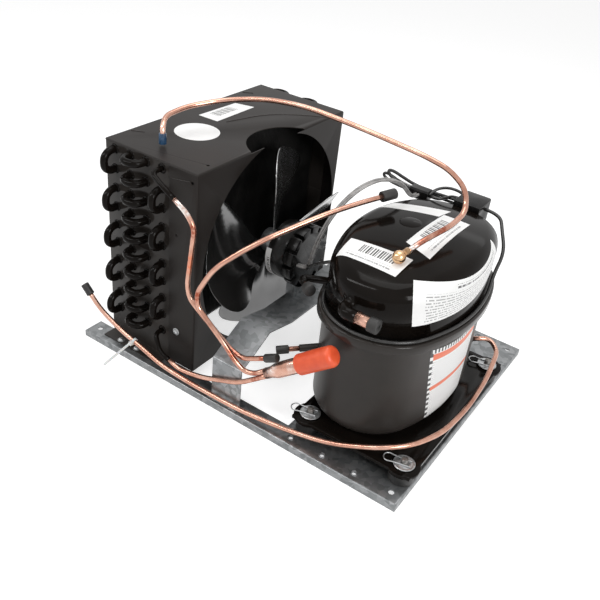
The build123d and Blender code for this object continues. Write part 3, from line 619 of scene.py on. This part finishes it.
half = coil["pitch"] / 2
bendTurns = [math.radians(90 - step) for step in (0, 20, 45, 70)]
bendRoute = [(0, 0, half)] + [(0, -coil["leg"] - half * math.cos(t), half * math.sin(t)) for t in bendTurns]
bendRoute += [(0, y, -z) for x, y, z in reversed(bendRoute)]
bendPart = tubeMesh([tuple(c * mm for c in point) for point in bendRoute], coil["tubeRadius"] * mm)
nearPlaces = [((coil["rowX"][0], coil["plateNear"], tubeZ(i) + half), (0, 0, 0)) for i in (0, 2, 4, 6, 8)]
nearPlaces += [((coil["rowX"][3], coil["plateNear"], tubeZ(i) + half), (0, 0, 0)) for i in (1, 3, 5, 7)]
nearPlaces += [((coil["rowX"][1] + half, coil["plateNear"], tubeZ(i)), (0, math.pi / 2, 0)) for i in range(10)]
farPlaces = [
    ((coil["rowX"][row] + half, coil["plateFar"], tubeZ(i)), (0, math.pi / 2, math.pi))
    for i in range(10) for row in (0, 2)
]


def inMetres(places):
    return [(tuple(c * mm for c in place), turn) for place, turn in places]


for name, nodeName, places in (
    ("nearReturnBends", "near_return_bends", nearPlaces), ("farReturnBends", "far_return_bends", farPlaces),
):
    scatter(name, scratchObject("bend", bendPart), inMetres(places), blackGloss, [nodeName], angle=50)
collar = turnedMesh([(4.8, 0), (6.4, 0), (6.2, 0.5), (5.4, 1.1), (4.8, 1.4)])
collarPlaces = [((x, coil["plateNear"], tubeZ(i)), (math.pi / 2, 0, 0)) for x in coil["rowX"] for i in range(10)]
collarPlaces += [((x, coil["plateFar"], tubeZ(i)), (-math.pi / 2, 0, 0)) for x in coil["rowX"] for i in range(10)]
scatter("tubeCollars", scratchObject("collar", collar), inMetres(collarPlaces), blackGloss)

finHolder = scratchObject("finStack", bpy.data.meshes.new("finStack"))
finNodes = finHolder.modifiers.new("fins", "NODES")
finNodes.node_group = thinStack
setInputs(
    finNodes, Count=coil["finCount"], Pitch=coil["finPitch"] * mm, Sheet=coil["finSheet"] * mm,
    Width=coil["finWidth"] * mm, Height=coil["finHeight"] * mm, Ripple=coil["ripple"] * mm,
    Ripples=coil["ripples"], Jitter=coil["jitter"] * mm, Seed=4, Look=finMetal,
)
finMesh = settled(finHolder)
finMesh.transform(Matrix.Translation(Vector((coil["finCentre"], coil["finNear"], coil["finMiddle"])) * mm))
addPiece("coilFins", finMesh, finMetal, "unit", ["fin_pack"])
tubeProfile = [(0, 0), (coil["tubeRadius"], 0), (coil["tubeRadius"], coil["tubeLength"]), (0, coil["tubeLength"])]
tubePart = turnedMesh(tubeProfile, 16)
tubePlaces = [((x, coil["tubeStart"], tubeZ(i)), (math.pi / 2, 0, 0)) for x in coil["rowX"] for i in range(10)]
scatter("coilTubes", scratchObject("tube", tubePart), inMetres(tubePlaces), finMetal)
print("coil")


# Screws, clips and burrs on the base and the sheets
roundScrew = turnedMesh([
    (0, 0), (5.0, 0), (5.0, 0.6), (3.8, 0.9), (3.5, 2.2), (2.4, 3.1), (1.2, 3.3), (0.9, 2.2), (0, 2.2),
], 24)
upright = (0, 0, 0)
screwSettings = [
    ("shroudScrews", "shroud_screws", [
        ((-104, -163, 50.5), (math.pi / 2, 0, 0)), ((-104, 147, 50.5), (-math.pi / 2, 0, 0)),
    ]),
    ("coilFootScrews", "coil_foot_screws", [((x, y, 1.2), upright) for x in (-161.4, -190) for y in (-177, 160)]),
    ("bracketScrews", "bracket_screws", [((x, y, 2), upright) for x in (-18, 7) for y in (-184.6, 184.6)]),
]
for name, nodeName, places in screwSettings:
    scatter(name, scratchObject("screw", roundScrew), inMetres(places), zincSteel, [nodeName], spread=3.0, seed=7)

studPlaces = [(x, y) for x in (100, 229) for y in (-149, 91)]
wireClip = {"height": 24.3, "radius": 0.8}
clipRoute = [(8, -4.8), (-11, -4.8), (-21, -7.5), (-26, 0), (-21, 7.5), (-11, 4.8), (8, 4.8)]
clipPoints = [(x * mm, y * mm, wireClip["height"] * mm) for x, y in clipRoute]
clipMesh = tubeMesh(clipPoints, wireClip["radius"] * mm, 4)
clipPlaces = inMetres([((x, y, 0), upright) for x, y in studPlaces])
scatter("wireClips", scratchObject("clip", clipMesh), clipPlaces, zincSteel, ["stud_clips"], spread=0.25, seed=3)
rim = turnedMesh([(2.9, 0.1), (4.6, 0.1), (4.4, 0.9), (3.6, 1.3), (2.9, 1.0)])
burrPlaces = [((x, y, 0), upright) for x in (95, 140, 184) for y in (-179.5, 179.5)]
scatter("holeRims", scratchObject("rim", rim), inMetres(burrPlaces), galvanised)
ringPart = turnedMesh([(9.6, 21.2), (12.6, 21.2), (12.9, 22.2), (12.2, 22.7), (9.6, 22.6)])
lipPlaces = inMetres([((x, y, 0.9), upright) for x, y in studPlaces])
scatter("washerLips", scratchObject("lip", ringPart), lipPlaces, zincSteel)
print("fasteners")


# Leads: thin strands follow the motor lead's route, others run along the rim and round the block

motorLeadRoute = [
    (-15, -31, 130), (2, -31, 130), (12, -40, 160), (24, -48, 195), (34, -44, 226), (44, -26, 248),
    (54, -8, 261), (66, 14, 266), (76, 45, 255), (84, 66, 228), (84, 84, 228),
]
strandSettings = [
    ((0.9, -1.5, 0.6), greyLead, 1.5), ((1.6, 1.3, -0.6), darkLead, 1.4), ((-1.7, 0.2, 0.2), greyLead, 1.5),
    ((0.4, 2.6, 1.4), greyLead, 1.3),
]
otherLeads = [
    ("rimLead", [
        (3, -34, 134), (10, -44, 144), (24, -50, 156), (40, -51, 167), (51, -48, 171), (58.8, -51, 169.3),
        (63.4, -78, 169.3), (79.3, -122.7, 169.3), (95.7, -142.3, 169.3), (117.8, -155.1, 169.3), (143, -159.5, 169.3),
        (168.2, -155.1, 169.3), (190.3, -142.3, 169.3), (206.7, -122.7, 169.3), (222.1, -80, 169.3),
        (227.5, -48, 169.3), (228.4, -16, 169.9), (224.7, 16, 172.3), (217, 46, 182), (216, 70, 202),
        (200, 92, 218), (188, 110, 228), (168, 110, 228),
    ], 2.2, darkLead, ["rim_lead"]),
    ("highLoop", [
        (72, 90, 231), (50, 90, 232), (36, 91, 238), (33, 93, 243), (40, 95, 243), (53, 99, 237), (68, 103, 231),
        (92, 105, 228), (112, 109, 227), (134, 112, 226),
    ], 2.1, darkLead, ()),
    ("lowLoop", [
        (72, 93, 226), (44, 94, 226), (27, 95, 231), (26, 96, 236), (34, 97, 236), (48, 99, 230), (66, 101, 227),
        (80, 104, 226), (100, 107, 223), (134, 113, 220),
    ], 1.9, darkLead, ()),
    ("coverLoop", [
        (96, 92, 230), (100, 100, 236), (112, 108, 240), (126, 110, 240), (136, 112, 236), (134, 114, 230),
        (134, 116, 226),
    ], 1.9, darkLead, ()),
    ("paleLead", [(30, 94, 228), (40, 95, 231), (54, 94, 233), (72, 92, 232)], 1.0, greyLead, ()),
]


strandTwist = 2.4


def strandPoint(point, offset, share):
    angle = strandTwist * share
    x, y, z = offset
    turned = (x * math.cos(angle) - y * math.sin(angle), x * math.sin(angle) + y * math.cos(angle), z)
    return tuple((c + d) * mm for c, d in zip(point, turned))


for number, (offset, look, radius) in enumerate(strandSettings):
    route = [strandPoint(point, offset, i / len(motorLeadRoute)) for i, point in enumerate(motorLeadRoute)]
    stands = ["motor_lead"] if number == 0 else []
    addPiece(f"motorStrand{number}", tubeMesh(route, radius * mm, 5), look, "unit", stands)
for name, route, radius, look, stands in otherLeads:
    routePoints = [tuple(c * mm for c in point) for point in route]
    addPiece(name, tubeMesh(routePoints, radius * mm, 5), look, "unit", stands)
print("leads")


# Caps: a dark disc in the end face of two of them, painted shade standing for the inside of their holes

capEnds = {
    "suctionCapHole": ((176.1, -170, 198), (1, 0, 0), 3.0),
    "spareCapHole": ((71.2, -136.4, 179.1), (0.77, -0.63, 0.1), 2.2),
}
for name, (place, facing, radius) in capEnds.items():
    # The dark disc is painted shade: it stands for the shaded inside of the cap's hole.
    holeShade = turnedMesh([(0, -0.5), (radius, -0.5), (radius, 0.05), (radius * 0.5, 0.08), (0, 0.08)], 20)
    turned = Vector(facing).to_track_quat("Z", "Y").to_matrix().to_4x4()
    holeShade.transform(Matrix.Translation(Vector(place) * mm) @ turned)
    addPiece(name, holeShade, darkLead)
print("cap holes")


# Labels: thin papers that lie on the surface below or behind them

def surfaceTree(*nodeNames):
    model = bmesh.new()
    for nodeName in nodeNames:
        model.from_mesh(nodes[nodeName].data)
    bmesh.ops.transform(model, matrix=nodes[nodeNames[0]].matrix_world, verts=model.verts)
    bmesh.ops.remove_doubles(model, verts=model.verts, dist=weldDistance)
    tree = BVHTree.FromBMesh(model)
    model.free()
    return tree


sheetSettings = {
    "sheet": 0.10, "flatLift": 0.12, "flatSteps": (28, 14), "wrapLift": 0.22, "wrapSteps": (60, 24),
    "castFrom": 0.3, "castAbove": 0.5,
}


def gridFaces(model, grid):
    uvLayer = model.loops.layers.uv.new("patch")
    for low, high in zip(grid, grid[1:]):
        for number in range(len(low) - 1):
            cell = [low[number], low[number + 1], high[number + 1], high[number]]
            face = model.faces.new([vertex for vertex, uv in cell])
            for loop, (vertex, uv) in zip(face.loops, cell):
                loop[uvLayer].uv = uv


def thinSheet(name, model, look):
    mesh = bpy.data.meshes.new(name)
    model.to_mesh(mesh)
    model.free()
    holder = scratchObject(name + "Sheet", mesh)
    wall = holder.modifiers.new("wall", "SOLIDIFY")
    wall.thickness = sheetSettings["sheet"] * mm
    wall.offset = -1
    made = settled(holder)
    softenShading(made, 40)
    return addPiece(name, made, look)


def paperPatch(name, corners, look, tree):
    columns, rows = sheetSettings["flatSteps"]
    down = Vector((0, 0, -1))
    lift = (sheetSettings["flatLift"] + sheetSettings["sheet"]) * mm
    model = bmesh.new()
    grid = []
    for row in range(rows + 1):
        line = []
        for column in range(columns + 1):
            u, v = column / columns, row / rows
            low = Vector(corners[0]).lerp(Vector(corners[1]), u)
            high = Vector(corners[3]).lerp(Vector(corners[2]), u)
            point = low.lerp(high, v) * mm
            above = Vector((point.x, point.y, sheetSettings["castAbove"]))
            hit = tree.ray_cast(above, down)[0] or point
            line.append((model.verts.new(hit - down * lift), (u, v)))
        grid.append(line)
    gridFaces(model, grid)
    model.normal_update()
    if sum(face.normal.z for face in model.faces) < 0:
        bmesh.ops.reverse_faces(model, faces=model.faces)
    return thinSheet(name, model, look)


shell = {"x": 143, "y": -26, "domeBase": 150, "lowerMiddle": 90}
domeTree = surfaceTree("compressor_upper_shell")
lowerTree = surfaceTree("compressor_lower_shell")
shroudTree = surfaceTree("shroud")
domeLabels = [
    ("domeLabelLeft", [(90, -123, 0), (164, -125, 0), (165.5, -89, 0), (89, -91, 0)], barPaper),
    ("domeLabelRight", [(178.6, -76, 0), (177, 35, 0), (143.5, 33, 0), (142.8, -64, 0)], barPaper),
    ("domeLabelFar", [(80.3, 21.6, 0), (74, -2, 0), (141.8, 22, 0), (144.3, 52.6, 0)], plainPaper),
]
for name, corners, look in domeLabels:
    paperPatch(name, corners, look, domeTree)


def wrapPatch(name, corners, height, look, tree):
    columns, rows = sheetSettings["wrapSteps"]
    middle = Vector((shell["x"], shell["y"], height)) * mm
    turns = []
    for corner in corners:
        reach = Vector(corner) * mm - middle
        turns.append((math.atan2(reach.y, reach.x), math.atan2(reach.z, math.hypot(reach.x, reach.y))))
    model = bmesh.new()
    grid = []
    for row in range(rows + 1):
        line = []
        for column in range(columns + 1):
            u, v = column / columns, row / rows
            low = [a + (b - a) * u for a, b in zip(turns[0], turns[1])]
            high = [a + (b - a) * u for a, b in zip(turns[3], turns[2])]
            around, rise = [a + (b - a) * v for a, b in zip(low, high)]
            flat = math.cos(rise)
            outward = Vector((math.cos(around) * flat, math.sin(around) * flat, math.sin(rise)))
            hit = tree.ray_cast(middle + outward * sheetSettings["castFrom"], -outward)[0]
            line.append((model.verts.new(hit + outward * sheetSettings["wrapLift"] * mm), (u, v)))
        grid.append(line)
    gridFaces(model, grid)
    return thinSheet(name, model, look)


sideLabelCorners = [(196, -131, 188), (226, 20, 206), (208, 24, 235.5), (181.4, -117.1, 233.4)]
stripedLabelCorners = [(218.2, -82.5, 32), (225, -2, 32), (225, -2, 148), (212.4, -100.4, 147)]
wrapPatch("sideLabel", sideLabelCorners, shell["domeBase"], ruledPaper, domeTree)
wrapPatch("stripedLabel", stripedLabelCorners, shell["lowerMiddle"], stripedPaper, lowerTree)


motorLabel = {
    "ends": (-57.5, -49.5), "axisY": -3, "axisZ": 131, "radius": 40.25,
    "turns": [math.radians(step) for step in range(20, -71, -10)],
}


def motorBand(name, look):
    last = len(motorLabel["turns"]) - 1
    model = bmesh.new()
    uvLayer = model.loops.layers.uv.new("patch")
    rows = []
    for t in motorLabel["turns"]:
        y = motorLabel["axisY"] - motorLabel["radius"] * math.cos(t)
        z = motorLabel["axisZ"] + motorLabel["radius"] * math.sin(t)
        rows.append([model.verts.new(Vector((x, y, z)) * mm) for x in motorLabel["ends"]])
    for number, (first, second) in enumerate(zip(rows, rows[1:])):
        face = model.faces.new((first[0], second[0], second[1], first[1]))
        start, end = number / last, (number + 1) / last
        for loop, uv in zip(face.loops, ((start, 0), (end, 0), (end, 1), (start, 1))):
            loop[uvLayer].uv = uv
    return thinSheet(name, model, look)


motorBand("motorLabel", slimBarPaper)


# Relief: a boss on the dome, fold lines on the shroud, and a thin dark ridge across the shroud top that is painted
# shadow of the tube

bossRing = turnedMesh([(0, 1.0), (10.5, 1.0), (13.2, 0.1), (13.6, -1.5), (0, -1.5)], 40)
bossRing.transform(Matrix.Translation(Vector((125.5, -19.6, 242.7)) * mm))
addPiece("domeBoss", bossRing, blackGloss)

shroudRidges = {
    # A thin dark ridge laid where the tube's soft shadow falls on the shroud top: painted shadow.
    "crease": [
        (-157, -12, 279.1), (-150, 15, 279.1), (-141, 45, 279.1), (-124, 70, 279.1), (-104, 88, 279.1),
        (-78, 106, 279.1),
    ],
    "nearTab": [(-216, -124, 279.1), (-209, -119, 279.1), (-201, -116, 279.1)],
    "farTab": [(-216, 96, 279.1), (-210, 101, 279.1), (-203, 104, 279.1)],
    "cornerFold": [(-118, -163.1, 263), (-100, -163.1, 264.5), (-84, -163.1, 268)],
}
for name, route in shroudRidges.items():
    ridge = tubeMesh([tuple(c * mm for c in point) for point in route], 0.55 * mm, 3)
    addPiece("shroud" + name[0].upper() + name[1:], ridge, blackSatin)


# Shroud labels: a round one and a small one with bars

roundLabel = {"x": -160, "y": -66, "z": 279, "radius": 28.5, "sheet": 0.12, "gap": 0.02}
roundProfile = [
    (0, roundLabel["sheet"]), (roundLabel["radius"], roundLabel["sheet"]),
    (roundLabel["radius"], roundLabel["gap"]), (0, roundLabel["gap"]),
]
roundMesh = turnedMesh(roundProfile, 48)
roundMesh.transform(Matrix.Translation(Vector((roundLabel["x"], roundLabel["y"], roundLabel["z"])) * mm))
addPiece("shroudRoundLabel", roundMesh, plainPaper)
barCorners = [(-166, -20, 0), (-167, 60, 0), (-194, 52, 0), (-196.5, -21, 0)]
paperPatch("shroudBarLabel", barCorners, slimBarPaper, shroudTree)
print("labels")


# Camera, floor and light

cameraSettings = {
    "place": (0.4323, -0.7589, 0.6401),
    "right": (0.81858, 0.56593, 0.09820),
    "up": (-0.38183, 0.40844, 0.82909),
    "backward": (0.42910, -0.71617, 0.55043),
    "lens": 45.69,
}
cameraData = bpy.data.cameras.new("photoCamera")
cameraData.lens = cameraSettings["lens"]
cameraData.sensor_width = 36
cameraData.clip_start = 0.02
camera = bpy.data.objects.new("photoCamera", cameraData)
bpy.context.scene.collection.objects.link(camera)
turn = Matrix((cameraSettings["right"], cameraSettings["up"], cameraSettings["backward"])).transposed()
camera.matrix_world = Matrix.Translation(cameraSettings["place"]) @ turn.to_4x4()
bpy.context.scene.camera = camera
bpy.context.scene.view_settings.view_transform = "Standard"

lightSettings = {
    "worldStrength": 0.30,
    "floorZ": -0.0101,
    "floorColor": (0.62, 0.62, 0.62, 1),
    "floorGlow": 0.68,
    "lamps": [
        ("topLamp", (-0.1, 0.1, 1.6), (0, 0, 0), (1.0, 1.0), (1, 0, 0), 9.8),
        ("leftStrip", (-0.69, -1.10, 1.31), (0.14, -0.1, 0.22), (1.5, 0.16), (0.665, -0.295, 0.686), 9.6),
        ("rightLamp", (1.5, -0.7, 0.9), (0.1, 0, 0.1), (0.6, 0.6), (0, 0, 1), 15.0),
        ("farLamp", (-0.12, 1.75, 0.98), (0, 0, 0.15), (0.8, 0.16), (1, 0, 0), 0.30),
    ],
}


def addLamp(name, place, target, size, along, power):
    lamp = bpy.data.lights.new(name, "AREA")
    lamp.shape = "RECTANGLE"
    lamp.size, lamp.size_y = size
    lamp.energy = power
    holder = bpy.data.objects.new(name, lamp)
    bpy.context.scene.collection.objects.link(holder)
    backward = (Vector(place) - Vector(target)).normalized()
    side = (Vector(along) - backward * backward.dot(Vector(along))).normalized()
    turned = Matrix((side, backward.cross(side), backward)).transposed()
    holder.matrix_world = Matrix.Translation(place) @ turned.to_4x4()


for lampSetting in lightSettings["lamps"]:
    addLamp(*lampSetting)


def showsBackground(tree):
    rays = tree.nodes.new("ShaderNodeLightPath")
    direct = calculate(tree, "MAXIMUM", rays.outputs["Is Camera Ray"], rays.outputs["Is Glossy Ray"])
    return calculate(tree, "MAXIMUM", direct, rays.outputs["Is Transmission Ray"])


world = bpy.data.worlds.new("studio")
bpy.context.scene.world = world
world.use_nodes = True
worldTree = world.node_tree
background = worldTree.nodes["Background"]
background.inputs["Color"].default_value = (1, 1, 1, 1)
seenDirectly = showsBackground(worldTree)
worldLevel = worldTree.nodes.new("ShaderNodeMapRange")
worldLevel.inputs["To Min"].default_value = lightSettings["worldStrength"]
worldLevel.inputs["To Max"].default_value = 1.0
worldTree.links.new(seenDirectly, worldLevel.inputs["Value"])
worldTree.links.new(worldLevel.outputs["Result"], background.inputs["Strength"])

floorMaterial, floorTree, floorShader = startMaterial(
    "studioFloor", Roughness=0.9, Base_Color=lightSettings["floorColor"],
)
floorGlow = floorTree.nodes.new("ShaderNodeEmission")
floorMix = floorTree.nodes.new("ShaderNodeAddShader")
floorGlowLevel = floorTree.nodes.new("ShaderNodeMapRange")
floorGlowLevel.inputs["To Max"].default_value = lightSettings["floorGlow"]
floorTree.links.new(showsBackground(floorTree), floorGlowLevel.inputs["Value"])
floorTree.links.new(floorGlowLevel.outputs["Result"], floorGlow.inputs["Strength"])
floorTree.links.new(floorShader.outputs["BSDF"], floorMix.inputs[0])
floorTree.links.new(floorGlow.outputs["Emission"], floorMix.inputs[1])
floorTree.links.new(floorMix.outputs["Shader"], floorTree.nodes["Material Output"].inputs["Surface"])
bpy.ops.mesh.primitive_plane_add(size=12, location=(0, 0, lightSettings["floorZ"]))
floor = bpy.context.object
floor.name = "studioFloor"
floor.data.materials.append(floorMaterial)
print("camera, floor and light")
